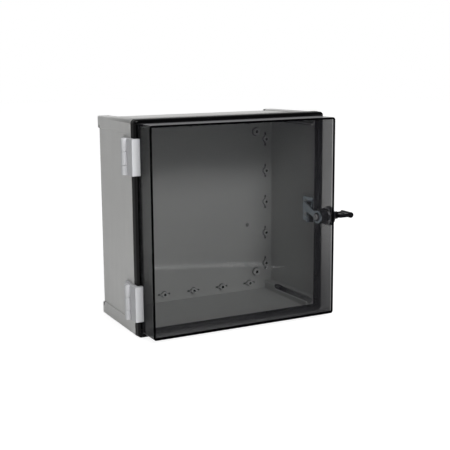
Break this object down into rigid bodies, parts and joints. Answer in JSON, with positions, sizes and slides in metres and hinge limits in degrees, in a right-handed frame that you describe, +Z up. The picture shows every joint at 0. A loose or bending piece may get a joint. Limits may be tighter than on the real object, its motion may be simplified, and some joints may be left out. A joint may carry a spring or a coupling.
{
  "type": "hinged wall enclosure",
  "caption": "Square wall enclosure: light grey moulded base, smoked see-through raised door on two plastic side hinges, and a turning cam lock with its key in the door's side.",
  "frame": {"origin": "centre of the rear face, in the plane that lies against the wall", "axes": "+X to the right seen from the front, +Y to the rear into the wall, +Z up; the door faces -Y"},
  "size_m": [0.3432, 0.18, 0.3],
  "materials": {
    "base_plastic": "light grey moulded polycarbonate, fine satin grain",
    "smoked_plastic": "smoked see-through polycarbonate, polished",
    "hinge_plastic": "bluish light grey moulded plastic, satin",
    "seal_rubber": "black foam rubber",
    "lock_plastic": "black moulded plastic, satin gloss",
    "nut_plastic": "black moulded plastic",
    "lock_metal": "nickel-plated metal",
    "zinc_plate": "bright zinc-plated steel",
    "catch_zinc": "zinc-plated steel",
    "screw_steel": "bright zinc-plated steel",
    "pin_steel": "ground steel",
    "key_plastic": "black moulded plastic"
  },
  "bodies": {
    "base": {"base_box": "base_plastic", "door_catch": "catch_zinc", "catch_screws": "screw_steel", "upper_hinge_base_leaf": "hinge_plastic", "upper_hinge_pin": "pin_steel", "upper_hinge_screws": "screw_steel", "lower_hinge_base_leaf": "hinge_plastic", "lower_hinge_pin": "pin_steel", "lower_hinge_screws": "screw_steel"},
    "door": {"door_cover": "smoked_plastic", "door_seal": "seal_rubber", "upper_hinge_door_leaf": "hinge_plastic", "lower_hinge_door_leaf": "hinge_plastic", "lock_housing": "lock_plastic", "lock_seal": "seal_rubber", "lock_nut": "nut_plastic"},
    "lock_rotor": {"lock_core": "lock_metal", "lock_cam": "zinc_plate", "cam_washer": "zinc_plate", "cam_screw": "screw_steel"},
    "key": {"key_shank": "lock_metal", "key_bow": "key_plastic"}
  },
  "joints": [
    {"name": "door_hinge", "type": "hinge", "parent": "base", "child": "door", "pos_m": [-0.157, -0.125, 0], "axis": [0, 0, -1], "range_deg": [0, 180]},
    {"name": "lock_turn", "type": "hinge", "parent": "door", "child": "lock_rotor", "pos_m": [0.1274, -0.1635, -0.001], "axis": [1, 0, 0], "range_deg": [-22, 68]},
    {"name": "key_withdraw", "type": "slide", "parent": "lock_rotor", "child": "key", "axis": [1, 0, 0], "range_m": [0, 0.03]}
  ]
}
